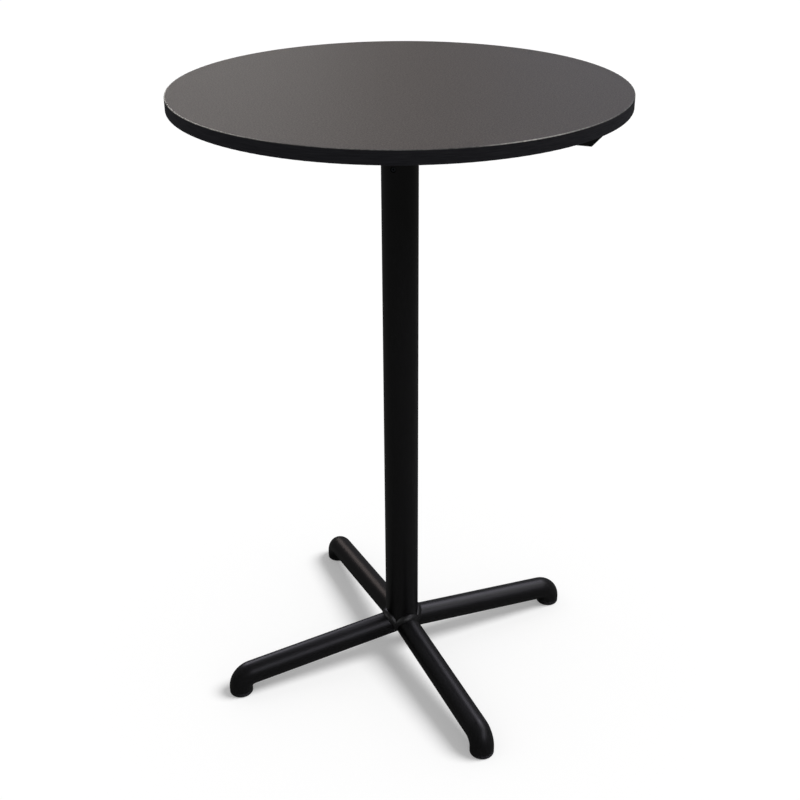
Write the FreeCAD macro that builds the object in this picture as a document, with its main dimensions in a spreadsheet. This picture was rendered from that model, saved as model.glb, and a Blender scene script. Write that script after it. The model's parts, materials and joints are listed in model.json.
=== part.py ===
import FreeCAD, Part
import math
import os
import Sketcher
from FreeCAD import Placement, Rotation, Vector

# A round pub table: laminate top on a steel column, with four tube legs and levelling glides.
# The origin is on the floor under the column, +Z is up and the legs lie on the diagonals.

# Driving sizes, in millimetres, or in degrees where the comment says so
SIZES = {
    # Round top
    "table_height": 1066.8,         # floor to the laminate's face
    "top_diameter": 711.2,          # over the edge band
    "laminate_thickness": 1.0,
    "core_thickness": 19.0,
    "backer_thickness": 0.6,
    "band_thickness": 2.0,
    "band_rounding": 1.4,
    "band_seam": 0.3,               # gap where the band's two ends meet
    # Pressed steel spider under the top
    "spider_thickness": 4.0,
    "arm_gap": 30.6,                # an arm's tip to the bag hook's flange
    "hub_diameter": 130.0,
    "arm_start": 37.0,              # column axis to an arm's inner end
    "arm_root_width": 58.0,
    "arm_tip_width": 36.0,
    "arm_root_depth": 20.0,
    "arm_tip_depth": 9.0,
    "arm_wall": 3.0,
    "arm_tip_rounding": 10.0,
    "screw_hub_gap": 40.0,          # hub's rim to the inner screws
    "screw_tip_inset": 22.0,        # an arm's tip to the outer screws
    # Sleeve that joins the spider to the column
    "sleeve_length": 130.0,         # below the spider
    "sleeve_wall": 5.0,
    "sleeve_clearance": 0.15,
    "sleeve_weld_size": 2.5,
    # Wood screws
    "screw_diameter": 4.8,
    "screw_head_diameter": 9.6,
    "screw_head_height": 3.2,
    "spider_screw_length": 18.0,
    "hook_screw_length": 15.0,
    "screw_clearance": 0.4,         # round the shank, in steel
    "bite_clearance": 0.05,         # round the shank, in the board
    # Column and its set screws
    "column_diameter": 60.3,
    "column_wall": 2.0,
    "column_rise": 4.0,             # column's lowest points above the crossing of the leg axes
    "set_screw_drop": 102.0,        # underside of the top to the set screws
    "set_screw_diameter": 8.0,
    "set_screw_length": 10.0,
    "set_screw_chamfer": 0.8,
    "set_screw_sink": 0.6,          # column's outside to the screw's end
    "set_screw_flats": 4.0,
    "set_screw_socket": 4.5,        # depth of the hexagon socket
    "set_screw_clearance": 0.8,     # in the column's wall
    "thread_clearance": 0.05,       # in a tapped hole
    # Tube legs
    "leg_diameter": 42.2,
    "leg_wall": 2.0,
    "leg_slope": 4.745,             # degrees, down towards the foot
    "foot_reach": 324.0,            # column axis to a foot's axis
    "bend_radius": 24.0,            # of the elbow's centre line
    "foot_straight": 2.5,           # upright stretch of tube below the elbow
    "weld_size": 5.5,
    # Plastic insert in the foot of each leg, with its nut
    "insert_flange": 3.0,
    "insert_depth": 14.0,
    "insert_taper": 3.0,            # narrowing of the plug, to clear the elbow
    "insert_wall": 2.0,
    "insert_floor": 3.0,            # tube's end to the floor of the hollow
    "fin_height": 0.8,
    "rib_thickness": 2.0,
    "insert_clearance": 0.1,
    "insert_rounding": 1.5,
    "nut_flats": 13.0,
    "nut_height": 6.5,
    "nut_clearance": 0.05,
    # Levelling glide
    "stem_diameter": 8.0,
    "stem_overlap": 8.0,            # stem above the nut when screwed right in
    "stem_chamfer": 1.0,
    "stem_clearance": 0.08,         # running fit round the stem
    "stem_play": 0.3,               # along the axis, between stem and pad
    "insert_bore_clearance": 0.4,
    "hex_flats": 13.0,
    "hex_height": 4.0,
    "hex_clearance": 0.7,
    "collar_diameter": 11.0,
    "collar_height": 1.5,
    "pad_diameter": 42.0,
    "pad_height": 5.5,
    "pad_web": 1.5,                 # pad left under the collar
    "pad_gap": 0.4,                 # pad to insert when screwed right in
    "pad_foot_rounding": 2.4,
    "pad_top_rounding": 1.0,
    # Bag hook cut from steel plate, with its upper edge folded to a flange
    "hook_inset": 51.0,             # rim of the top to the corner between run and lip
    "hook_thickness": 3.0,
    "hook_strip": 14.0,             # width of the run and of the lip
    "hook_drop": 42.7,              # underside of the top to the hook's lowest edge
    "hook_throat": 30.0,
    "hook_heel": 9.0,               # plate below the flange at its inner end
    "hook_lip": 32.0,
    "hook_lip_angle": 48.0,         # degrees above the run
    "hook_flange_length": 44.0,
    "hook_flange_width": 24.0,
    "hook_bend": 2.0,               # inside radius of the fold
    "hook_throat_rounding": 5.0,
    "hook_lip_rounding": 4.0,
    "hook_screw_inset": 10.0,       # flange's end to the first screw
    "hook_screw_spacing": 20.0,
}

# Places that follow from the driving sizes
UNDERSIDE = "(dims.table_height - dims.laminate_thickness - dims.core_thickness - dims.backer_thickness)"
CORE_FOOT = f"({UNDERSIDE} + dims.backer_thickness)"
CORE_DIAMETER = "(dims.top_diameter - 2 * dims.band_thickness)"
WEB_FOOT = f"({UNDERSIDE} - dims.spider_thickness)"
SLEEVE_DIAMETER = "(dims.column_diameter - 2 * dims.column_wall - 2 * dims.sleeve_clearance)"
SET_SCREW_HEIGHT = f"({UNDERSIDE} - dims.set_screw_drop)"
INSERT_FOOT = "(dims.pad_height + dims.pad_gap)"
TUBE_END = f"({INSERT_FOOT} + dims.insert_flange)"
INSERT_TOP = f"({TUBE_END} + dims.insert_depth)"
ELBOW_FOOT = f"({TUBE_END} + dims.foot_straight)"
ELBOW_RUN = "(dims.foot_reach - dims.bend_radius * (1 - sin(dims.leg_slope)))"
LEG_AXIS = (f"({ELBOW_FOOT} + dims.bend_radius * cos(dims.leg_slope)"
            f" + {ELBOW_RUN} * tan(dims.leg_slope))")
HEX_FOOT = "(dims.pad_height + dims.stem_play)"
COLLAR_FOOT = "(dims.pad_web + dims.stem_play)"
COLLAR_TOP = f"({COLLAR_FOOT} + dims.collar_height)"
HOOK_FOOT = f"({UNDERSIDE} - dims.hook_drop)"
HOOK_REACH = "(dims.top_diameter / 2 - dims.hook_inset)"
HOOK_FACE = f"({HOOK_REACH} - dims.hook_throat)"
HOOK_END = f"({HOOK_FACE} - dims.hook_flange_length)"
HOOK_SEAT = f"({UNDERSIDE} - dims.hook_thickness)"
HOOK_SCREWS = [f"({HOOK_END} + dims.hook_screw_inset)",
               f"({HOOK_END} + dims.hook_screw_inset + dims.hook_screw_spacing)"]
SPIDER_REACH = f"({HOOK_END} - dims.arm_gap)"
SPIDER_SCREWS = ["(dims.hub_diameter / 2 + dims.screw_hub_gap)",
                 f"({SPIDER_REACH} - dims.screw_tip_inset)"]

# Direction of each leg in degrees from +X, with -Y as the front
LEGS = {"front_right": -45, "rear_right": 45, "rear_left": 135, "front_left": 225}
ARMS = 4
SET_SCREWS = 2
FINS = 3
RIBS = 4

# Millimetres within which two places count as the same
SAME_PLACE = 1e-4

doc = FreeCAD.newDocument("pub_table")
dims = doc.addObject("Spreadsheet::Sheet", "dims")
for row, (alias, number) in enumerate(SIZES.items(), start=1):
    dims.set(f"A{row}", str(number))
    dims.setAlias(f"A{row}", alias)
doc.recompute()

nodes = []


def size(expression):
    """Present value of an expression, as a plain number."""
    value = dims.evalExpression(expression)
    return float(getattr(value, "Value", value))


# Helpers that draw bound sketches and add features


def new_body(label):
    body = doc.addObject("PartDesign::Body", label)
    body.Label = label
    nodes.append(body)
    return body


def origin_part(body, role):
    return next(part for part in body.Origin.OriginFeatures if part.Role == role)


def add_sketch(body, name, plane, x="0", y="0", z="0"):
    """Sketch on an origin plane, shifted by expressions along the plane's own axes."""
    sketch = body.newObject("Sketcher::SketchObject", name)
    sketch.AttachmentSupport = (origin_part(body, plane), [""])
    sketch.MapMode = "FlatFace"
    for axis, shift in (("x", x), ("y", y), ("z", z)):
        if shift != "0":
            sketch.setExpression(f"AttachmentOffset.Base.{axis}", shift)
    return sketch


def bind(sketch, expression, *constraint):
    """Adds a dimension whose value follows an expression."""
    index = sketch.addConstraint(Sketcher.Constraint(*constraint, size(expression)))
    sketch.setExpression(f"Constraints[{index}]", expression)


def place_point(sketch, shape, point, x, y):
    """Ties one point of a shape to the sketch's axes."""
    for kind, where, axis in (("DistanceX", x, -2), ("DistanceY", y, -1)):
        if where == "0":
            sketch.addConstraint(Sketcher.Constraint("PointOnObject", shape, point, axis))
        else:
            bind(sketch, where, kind, -1, 1, shape, point)


def draw_polygon(sketch, corners):
    """Closed outline whose corners are pairs of expressions."""
    points = [Vector(size(x), size(y), 0) for x, y in corners]
    lines = []
    for start, end in zip(points, points[1:] + points[:1]):
        lines.append(sketch.addGeometry(Part.LineSegment(start, end)))
    for line, following in zip(lines, lines[1:] + lines[:1]):
        sketch.addConstraint(Sketcher.Constraint("Coincident", line, 2, following, 1))
    for line, (x, y) in zip(lines, corners):
        place_point(sketch, line, 1, x, y)


def draw_circle(sketch, diameter, x="0", y="0"):
    circle = sketch.addGeometry(Part.Circle(Vector(size(x), size(y), 0), Vector(0, 0, 1), size(diameter) / 2))
    bind(sketch, diameter, "Diameter", circle)
    place_point(sketch, circle, 3, x, y)


def draw_hexagon(sketch, flats):
    """Hexagon round the sketch's origin, given its width across flats."""
    corners = [(f"{flats} / sqrt(3) * cos({60 * k})", f"{flats} / sqrt(3) * sin({60 * k})") for k in range(6)]
    corners[0] = (corners[0][0], "0")
    corners[3] = (corners[3][0], "0")
    draw_polygon(sketch, corners)


def draw_screw(sketch, diameter, head_diameter, head_height, length):
    """Half outline of a pan head screw, its axis on the sketch's V axis and its seat on the H axis."""
    shank = f"{diameter} / 2"
    head = f"{head_diameter} / 2"
    draw_polygon(sketch, [
        ("0", f"-{head_height}"),
        (f"{head} - {head_height} / 2", f"-{head_height}"),
        (head, f"-{head_height} / 2"),
        (head, "0"),
        (shank, "0"),
        (shank, f"{length} - {diameter}"),
        ("0", length),
    ])


def add_pad(body, sketch, length, down=False, centred=False):
    pad = body.newObject("PartDesign::Pad", f"{sketch.Name}_pad")
    pad.Profile = sketch
    pad.setExpression("Length", length)
    pad.Reversed = down
    pad.Midplane = centred
    doc.recompute()
    return pad


def add_pocket(body, sketch, length=None, along_normal=False, centred=False):
    """Cut from a sketch, right through where no length is given; it has to take volume away."""
    before = body.Shape.Volume
    pocket = body.newObject("PartDesign::Pocket", f"{sketch.Name}_pocket")
    pocket.Profile = sketch
    if length is None:
        pocket.Type = "ThroughAll"
    else:
        pocket.setExpression("Length", length)
    pocket.Reversed = along_normal
    pocket.Midplane = centred
    doc.recompute()
    if body.Shape.Volume >= before:
        raise ValueError(f"{pocket.Name} cuts nothing")
    return pocket


def add_revolution(body, sketch, axis="V_Axis", turn=None):
    """Turns a half outline about one of its sketch's axes, a full turn unless an expression is given."""
    revolution = body.newObject("PartDesign::Revolution", f"{sketch.Name}_revolution")
    revolution.Profile = sketch
    revolution.ReferenceAxis = (sketch, [axis])
    revolution.Angle = 360
    if turn:
        revolution.setExpression("Angle", turn)
    doc.recompute()
    return revolution


def add_polar(body, features, count):
    """Repeats features evenly round the column's axis."""
    pattern = body.newObject("PartDesign::PolarPattern", f"{features[0].Name}_round")
    pattern.Originals = features
    pattern.Axis = (origin_part(body, "Z_Axis"), [""])
    pattern.Angle = 360
    pattern.Occurrences = count
    body.Tip = pattern
    doc.recompute()
    return pattern


def add_dressing(body, kind, amount, name, wanted):
    """Fillet or chamfer on each edge of the body that passes a test."""
    base = body.Tip
    edges = [f"Edge{k}" for k, edge in enumerate(base.Shape.Edges, start=1) if wanted(edge)]
    dressing = body.newObject(f"PartDesign::{kind}", name)
    dressing.Base = (base, edges)
    dressing.setExpression("Radius" if kind == "Fillet" else "Size", amount)
    doc.recompute()
    return dressing


def is_ring(edge, radius, height):
    """True for a circular edge of that radius, level and round a vertical axis."""
    round_edge = isinstance(edge.Curve, Part.Circle)
    return (round_edge and abs(edge.Curve.Radius - radius) < SAME_PLACE
            and abs(edge.Curve.Center.z - height) < SAME_PLACE
            and abs(abs(edge.Curve.Axis.z) - 1) < SAME_PLACE)


# Round top


def add_screw_holes(body, sketch_height, diameter, depth=None):
    """Holes for the spider's and the hook's screws, cut upward from a level."""
    spider_holes = add_sketch(body, f"{body.Name}_spider_holes", "XY_Plane", z=sketch_height)
    for radius in SPIDER_SCREWS:
        draw_circle(spider_holes, diameter, x=radius)
    first = add_pocket(body, spider_holes, depth, along_normal=True)
    add_polar(body, [first], ARMS)
    hook_holes = add_sketch(body, f"{body.Name}_hook_holes", "XY_Plane", z=sketch_height)
    for place in HOOK_SCREWS:
        draw_circle(hook_holes, diameter, x=place)
    add_pocket(body, hook_holes, depth, along_normal=True)


def build_disc(label, foot, thickness):
    body = new_body(label)
    outline = add_sketch(body, f"{label}_outline", "XY_Plane", z=foot)
    draw_circle(outline, CORE_DIAMETER)
    add_pad(body, outline, thickness)
    return body


def build_top():
    """Board core between its laminate face and its backing sheet, with an edge band round all three."""
    pilot = "dims.screw_diameter + 2 * dims.bite_clearance"
    core = build_disc("top_core", CORE_FOOT, "dims.core_thickness")
    bite = "dims.spider_screw_length - dims.spider_thickness - dims.backer_thickness"
    add_screw_holes(core, CORE_FOOT, pilot, bite)
    backer = build_disc("backer_sheet", UNDERSIDE, "dims.backer_thickness")
    add_screw_holes(backer, UNDERSIDE, pilot)
    build_disc("top_laminate", f"{CORE_FOOT} + dims.core_thickness", "dims.laminate_thickness")


def build_edge_band():
    """Strip bent round the top, with rounded edges and a butt seam at the rear."""
    body = new_body("edge_band")
    section = add_sketch(body, "band_section", "XZ_Plane")
    outer = "dims.top_diameter / 2"
    inner = f"{CORE_DIAMETER} / 2"
    draw_polygon(section, [(inner, UNDERSIDE), (outer, UNDERSIDE),
                           (outer, "dims.table_height"), (inner, "dims.table_height")])
    add_revolution(body, section, turn="360 - dims.band_seam / dims.top_diameter * 2 * 180 / pi")
    rim = size(outer)
    levels = [size(UNDERSIDE), size("dims.table_height")]
    add_dressing(body, "Fillet", "dims.band_rounding", "band_edges",
                 lambda edge: any(is_ring(edge, rim, level) for level in levels))
    body.Placement = Placement(Vector(0, 0, 0), Rotation(Vector(0, 0, 1), 90))


# Spider, sleeve and screws under the top


def arm_outline(wall):
    """Plan of an arm that narrows to its tip, drawn in from its edge by a wall."""
    root = f"dims.arm_root_width / 2 - {wall}"
    tip = f"dims.arm_tip_width / 2 - {wall}"
    end = f"{SPIDER_REACH} - {wall}"
    return [("dims.arm_start", f"-({root})"), (end, f"-({tip})"), (end, tip), ("dims.arm_start", root)]


def build_spider():
    """Pressed spider: a round hub and four channel arms that narrow and grow shallow towards their tips."""
    body = new_body("spider")
    arm = add_sketch(body, "arm_plan", "XY_Plane", z=UNDERSIDE)
    draw_polygon(arm, arm_outline("0"))
    arm_pad = add_pad(body, arm, "dims.arm_root_depth", down=True)

    root_level = f"{UNDERSIDE} - dims.arm_root_depth"
    tip_level = f"{UNDERSIDE} - dims.arm_tip_depth"
    rake = add_sketch(body, "arm_rake", "XZ_Plane")
    draw_polygon(rake, [("dims.hub_diameter / 2", root_level), (SPIDER_REACH, root_level),
                        (SPIDER_REACH, tip_level)])
    rake_pocket = add_pocket(body, rake, "2 * dims.arm_root_width", centred=True)

    channel = add_sketch(body, "arm_channel", "XY_Plane", z=WEB_FOOT)
    draw_polygon(channel, arm_outline("dims.arm_wall"))
    channel_pocket = add_pocket(body, channel)

    holes = add_sketch(body, "arm_holes", "XY_Plane", z=UNDERSIDE)
    for radius in SPIDER_SCREWS:
        draw_circle(holes, "dims.screw_diameter + 2 * dims.screw_clearance", x=radius)
    hole_pocket = add_pocket(body, holes, "dims.spider_thickness")
    add_polar(body, [arm_pad, rake_pocket, channel_pocket, hole_pocket], ARMS)

    tip_radius = math.hypot(size(SPIDER_REACH), size("dims.arm_tip_width") / 2)
    add_dressing(body, "Fillet", "dims.arm_tip_rounding", "arm_tips",
                 lambda edge: is_upright_at(edge, tip_radius))

    hub = add_sketch(body, "hub_plan", "XY_Plane", z=UNDERSIDE)
    draw_circle(hub, "dims.hub_diameter")
    add_pad(body, hub, "dims.spider_thickness", down=True)
    socket = add_sketch(body, "hub_socket", "XY_Plane", z=UNDERSIDE)
    draw_circle(socket, SLEEVE_DIAMETER)
    add_pocket(body, socket, "dims.spider_thickness")
    socket_radius = size(SLEEVE_DIAMETER) / 2
    add_dressing(body, "Chamfer", "dims.sleeve_weld_size", "weld_groove",
                 lambda edge: is_ring(edge, socket_radius, size(UNDERSIDE)))


def is_upright_at(edge, radius):
    """True for a straight vertical edge at that distance from the column's axis."""
    first, last = edge.Vertexes[0].Point, edge.Vertexes[-1].Point
    upright = math.hypot(first.x - last.x, first.y - last.y) < SAME_PLACE
    return upright and abs(math.hypot(first.x, first.y) - radius) < SAME_PLACE


def build_sleeve():
    """Tube through the spider's hub and down inside the column, tapped at front and rear for set screws."""
    body = new_body("spider_sleeve")
    ring = add_sketch(body, "sleeve_ring", "XY_Plane", z=UNDERSIDE)
    draw_circle(ring, SLEEVE_DIAMETER)
    draw_circle(ring, f"{SLEEVE_DIAMETER} - 2 * dims.sleeve_wall")
    add_pad(body, ring, "dims.spider_thickness + dims.sleeve_length", down=True)
    tapping = add_sketch(body, "sleeve_tapping", "XZ_Plane")
    draw_circle(tapping, "dims.set_screw_diameter + 2 * dims.thread_clearance", y=SET_SCREW_HEIGHT)
    add_pocket(body, tapping, "2 * dims.column_diameter", centred=True)


def build_sleeve_weld():
    """Weld that fills the groove between the sleeve and the hub, flush with the spider's face."""
    body = new_body("sleeve_weld")
    section = add_sketch(body, "sleeve_weld_section", "XZ_Plane")
    inner = f"{SLEEVE_DIAMETER} / 2"
    draw_polygon(section, [(inner, f"{UNDERSIDE} - dims.sleeve_weld_size"),
                           (f"{inner} + dims.sleeve_weld_size", UNDERSIDE), (inner, UNDERSIDE)])
    add_revolution(body, section)


def build_spider_screws():
    body = new_body("spider_screws")
    screws = []
    for k, radius in enumerate(SPIDER_SCREWS):
        half = add_sketch(body, f"spider_screw_{k}", "XZ_Plane", x=radius, y=WEB_FOOT)
        draw_screw(half, "dims.screw_diameter", "dims.screw_head_diameter", "dims.screw_head_height",
                   "dims.spider_screw_length")
        screws.append(add_revolution(body, half))
    add_polar(body, screws, ARMS)


# Column and its set screws


def build_column():
    """Column tube, notched at its lower end to stand over the crossing of the legs."""
    body = new_body("column_tube")
    ring = add_sketch(body, "column_ring", "XY_Plane", z=f"{LEG_AXIS} + dims.column_rise")
    draw_circle(ring, "dims.column_diameter")
    draw_circle(ring, "dims.column_diameter - 2 * dims.column_wall")
    add_pad(body, ring, f"{WEB_FOOT} - {LEG_AXIS} - dims.column_rise")

    notch = add_sketch(body, "leg_notch", "XY_Plane")
    turned = f"rotation(vector(0; 0; 1); {LEGS['rear_right']})"
    facing = f"{turned} * rotation(vector(0; 1; 0); 90 + dims.leg_slope)"
    notch.setExpression("AttachmentOffset", f"placement(vector(0; 0; {LEG_AXIS}); {facing})")
    draw_circle(notch, "dims.leg_diameter")
    notched = add_pocket(body, notch, "dims.column_diameter", along_normal=True)
    add_polar(body, [notched], len(LEGS))

    drilling = add_sketch(body, "column_drilling", "XZ_Plane")
    draw_circle(drilling, "dims.set_screw_diameter + 2 * dims.set_screw_clearance", y=SET_SCREW_HEIGHT)
    add_pocket(body, drilling, "2 * dims.column_diameter", centred=True)


def build_set_screws():
    """Socket set screws in the sleeve, whose outer ends stand in the column's holes and pin it."""
    body = new_body("set_screws")
    end = "(dims.column_diameter / 2 - dims.set_screw_sink)"
    half = add_sketch(body, "set_screw_half", "YZ_Plane", x=f"-{end}", y=SET_SCREW_HEIGHT)
    radius = "dims.set_screw_diameter / 2"
    chamfer = "dims.set_screw_chamfer"
    length = "dims.set_screw_length"
    draw_polygon(half, [("0", "0"), (length, "0"), (length, f"{radius} - {chamfer}"),
                        (f"{length} - {chamfer}", radius), (chamfer, radius), ("0", f"{radius} - {chamfer}")])
    screw = add_revolution(body, half, axis="H_Axis")
    socket = add_sketch(body, "set_screw_socket", "XZ_Plane", y=SET_SCREW_HEIGHT, z=end)
    draw_hexagon(socket, "dims.set_screw_flats")
    recess = add_pocket(body, socket, "dims.set_screw_socket")
    add_polar(body, [screw, recess], SET_SCREWS)


# Legs and their welds


def draw_leg_path(sketch):
    """Centre line of a leg: sloped run, elbow and short upright end, each tangent to the next."""
    slope = math.radians(size("dims.leg_slope"))
    bend = size("dims.bend_radius")
    centre = Vector(size("dims.foot_reach") - bend, size(ELBOW_FOOT), 0)
    past = "dims.leg_diameter * sin(dims.leg_slope)"
    inner = Vector(-size(past), size(LEG_AXIS) + size(past) * math.tan(slope), 0)
    outer = centre + Vector(bend * math.sin(slope), bend * math.cos(slope), 0)
    heel = centre + Vector(bend, 0, 0)
    end = heel - Vector(0, size("dims.foot_straight"), 0)
    run = sketch.addGeometry(Part.LineSegment(inner, outer))
    circle = Part.Circle(centre, Vector(0, 0, 1), bend)
    elbow = sketch.addGeometry(Part.ArcOfCircle(circle, 0, math.pi / 2 - slope))
    foot = sketch.addGeometry(Part.LineSegment(heel, end))
    sketch.addConstraint(Sketcher.Constraint("Tangent", run, 2, elbow, 2))
    sketch.addConstraint(Sketcher.Constraint("Tangent", elbow, 1, foot, 1))
    sketch.addConstraint(Sketcher.Constraint("Vertical", foot))
    bind(sketch, "dims.bend_radius", "Radius", elbow)
    bind(sketch, "dims.foot_straight", "DistanceY", foot, 2, foot, 1)
    place_point(sketch, foot, 2, "dims.foot_reach", TUBE_END)
    place_point(sketch, run, 1, f"-{past}", f"{LEG_AXIS} + {past} * tan(dims.leg_slope)")


def build_leg(label, direction):
    """Bent tube with its inner end mitred to a right angle, so that four of them meet at the centre."""
    body = new_body(label)
    path = add_sketch(body, f"{label}_path", "XZ_Plane")
    draw_leg_path(path)
    section = add_sketch(body, f"{label}_section", "XY_Plane", z=TUBE_END)
    draw_circle(section, "dims.leg_diameter", x="dims.foot_reach")
    draw_circle(section, "dims.leg_diameter - 2 * dims.leg_wall", x="dims.foot_reach")
    doc.recompute()
    tube = body.newObject("PartDesign::AdditivePipe", f"{label}_tube")
    tube.Profile = section
    tube.Spine = (path, ["Edge3", "Edge2", "Edge1"])
    doc.recompute()

    mitre = add_sketch(body, f"{label}_mitre", "XY_Plane")
    wide = "dims.leg_diameter"
    draw_polygon(mitre, [("0", "0"), (wide, wide), (f"-{wide}", wide),
                         (f"-{wide}", f"-{wide}"), (wide, f"-{wide}")])
    add_pocket(body, mitre, along_normal=True)
    body.Placement = Placement(Vector(0, 0, 0), Rotation(Vector(0, 0, 1), direction))


def build_leg_welds():
    """Fillet weld over the shoulder of each leg where the column stands on it.

    The bead follows the curve in which the two tubes meet. It is an eight sided rod along that curve,
    less the tubes, and each one ends on the planes where neighbouring legs meet.
    """
    column_radius = size("dims.column_diameter") / 2
    leg_radius = size("dims.leg_diameter") / 2
    slope = math.radians(size("dims.leg_slope"))
    height = size(LEG_AXIS)
    bead = size("dims.weld_size")
    sides = 8
    half_turn = math.radians(100)
    steps = 12

    def meeting_point(turn):
        """Point of the curve at an angle round the leg, from the top of the leg."""
        y = leg_radius * math.sin(turn)
        x = math.sqrt(column_radius ** 2 - y ** 2)
        along = (x - leg_radius * math.cos(turn) * math.sin(slope)) / math.cos(slope)
        return Vector(x, y, height - along * math.sin(slope) + leg_radius * math.cos(turn) * math.cos(slope))

    curve = Part.BSplineCurve()
    curve.interpolate([meeting_point(half_turn * (2 * k / steps - 1)) for k in range(steps + 1)])
    path = curve.toShape()
    start = path.valueAt(path.FirstParameter)
    facing = Rotation(Vector(0, 0, 1), path.tangentAt(path.FirstParameter))
    spokes = [Vector(bead * math.cos(2 * math.pi * k / sides), bead * math.sin(2 * math.pi * k / sides), 0)
              for k in range(sides + 1)]
    ring = Part.makePolygon([start + facing.multVec(spoke) for spoke in spokes])
    rod = Part.Wire([path]).makePipeShell([ring], True, True)

    column = Part.makeCylinder(column_radius, size("dims.table_height"))
    leg_way = Vector(math.cos(slope), 0, -math.sin(slope))
    leg = Part.makeCylinder(leg_radius, size("dims.foot_reach"), Vector(0, 0, height), leg_way)
    wide = size("dims.column_diameter")
    low = height - bead
    corner = Vector(0, 0, low)
    quarter = Part.makePolygon([corner, Vector(wide, -wide, low), Vector(wide, wide, low), corner])
    sector = Part.Face(quarter).extrude(Vector(0, 0, wide))
    weld = rod.common(sector).cut(column).cut(leg)

    welds = doc.addObject("Part::Feature", "leg_welds")
    welds.Label = "leg_welds"
    copies = []
    for direction in LEGS.values():
        copy = weld.copy()
        copy.rotate(Vector(0, 0, 0), Vector(0, 0, 1), direction)
        copies.extend(copy.Solids)
    welds.Shape = Part.makeCompound(copies)
    welds.Placement = Placement()
    nodes.append(welds)


# Feet


def stand_at_foot(body, direction):
    """Moves a foot's piece from the column's axis to the foot of one leg."""
    body.setExpression("Placement.Base.x", f"dims.foot_reach * cos({direction})")
    body.setExpression("Placement.Base.y", f"dims.foot_reach * sin({direction})")


def build_foot_insert(label, direction):
    """Moulded plug in the tube's end: finned wall, flange under the tube, and a ribbed boss for the nut."""
    body = new_body(label)
    half = add_sketch(body, f"{label}_half", "XZ_Plane")
    rim = "dims.leg_diameter / 2"
    plug = "dims.leg_diameter / 2 - dims.leg_wall - dims.insert_clearance"
    fins = []
    for k in range(FINS):
        fins.append((f"{plug} - dims.insert_taper * {k} / {FINS}",
                     f"{TUBE_END} + dims.insert_depth * {k} / {FINS}"))
        fins.append((f"{plug} - dims.insert_taper * {k + 1} / {FINS} - dims.fin_height",
                     f"{TUBE_END} + dims.insert_depth * {k + 1} / {FINS}"))
    shell = f"{plug} - dims.insert_taper - dims.fin_height - dims.insert_wall"
    boss = "dims.nut_flats / sqrt(3) + dims.insert_wall"
    floor = f"{TUBE_END} + dims.insert_floor"
    bore = "dims.stem_diameter / 2 + dims.insert_bore_clearance"
    recess = "dims.hex_flats / sqrt(3) + dims.hex_clearance"
    recess_top = f"{HEX_FOOT} + dims.hex_height + dims.hex_clearance"
    draw_polygon(half, [(recess, INSERT_FOOT), (rim, INSERT_FOOT), (rim, TUBE_END), *fins,
                        (shell, INSERT_TOP), (shell, floor), (boss, floor), (boss, INSERT_TOP),
                        (bore, INSERT_TOP), (bore, recess_top), (recess, recess_top)])
    add_revolution(body, half)

    rib = add_sketch(body, f"{label}_rib", "XY_Plane", z=floor)
    start = f"{boss} - dims.insert_wall / 2"
    end = f"{shell} + dims.insert_wall / 2"
    side = "dims.rib_thickness / 2"
    draw_polygon(rib, [(start, f"-{side}"), (end, f"-{side}"), (end, side), (start, side)])
    rib_pad = add_pad(body, rib, "dims.insert_depth - dims.insert_floor")
    add_polar(body, [rib_pad], RIBS)

    seat = add_sketch(body, f"{label}_nut_seat", "XY_Plane", z=INSERT_TOP)
    draw_hexagon(seat, "(dims.nut_flats + 2 * dims.nut_clearance)")
    add_pocket(body, seat, "dims.nut_height")
    add_dressing(body, "Fillet", "dims.insert_rounding", f"{label}_rim",
                 lambda edge: is_ring(edge, size(rim), size(INSERT_FOOT)))
    stand_at_foot(body, direction)


def build_glide_nut(label, direction):
    body = new_body(label)
    plan = add_sketch(body, f"{label}_plan", "XY_Plane", z=INSERT_TOP)
    draw_hexagon(plan, "dims.nut_flats")
    draw_circle(plan, "dims.stem_diameter + 2 * dims.stem_clearance")
    add_pad(body, plan, "dims.nut_height", down=True)
    stand_at_foot(body, direction)


def build_glide_stem(label, direction):
    """Threaded stem with a hexagon to turn it by and a collar that stays in the pad."""
    body = new_body(label)
    half = add_sketch(body, f"{label}_half", "XZ_Plane")
    shank = "dims.stem_diameter / 2"
    collar = "dims.collar_diameter / 2"
    top = f"{INSERT_TOP} + dims.stem_overlap"
    draw_polygon(half, [("0", COLLAR_FOOT), (collar, COLLAR_FOOT), (collar, COLLAR_TOP), (shank, COLLAR_TOP),
                        (shank, f"{top} - dims.stem_chamfer"), (f"{shank} - dims.stem_chamfer", top),
                        ("0", top)])
    add_revolution(body, half)
    hexagon = add_sketch(body, f"{label}_hexagon", "XY_Plane", z=HEX_FOOT)
    draw_hexagon(hexagon, "dims.hex_flats")
    add_pad(body, hexagon, "dims.hex_height")
    stand_at_foot(body, direction)


def build_glide_pad(label, direction):
    """Nylon pad that the stem's collar turns in."""
    body = new_body(label)
    half = add_sketch(body, f"{label}_half", "XZ_Plane")
    rim = "dims.pad_diameter / 2"
    neck = "dims.stem_diameter / 2 + dims.stem_clearance"
    room = "dims.collar_diameter / 2 + dims.stem_play"
    shelf = f"{COLLAR_TOP} + dims.stem_play"
    draw_polygon(half, [("0", "0"), (rim, "0"), (rim, "dims.pad_height"), (neck, "dims.pad_height"),
                        (neck, shelf), (room, shelf), (room, "dims.pad_web"), ("0", "dims.pad_web")])
    add_revolution(body, half)
    add_dressing(body, "Fillet", "dims.pad_foot_rounding", f"{label}_foot",
                 lambda edge: is_ring(edge, size(rim), 0))
    add_dressing(body, "Fillet", "dims.pad_top_rounding", f"{label}_top",
                 lambda edge: is_ring(edge, size(rim), size("dims.pad_height")))
    stand_at_foot(body, direction)


# Bag hook


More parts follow.
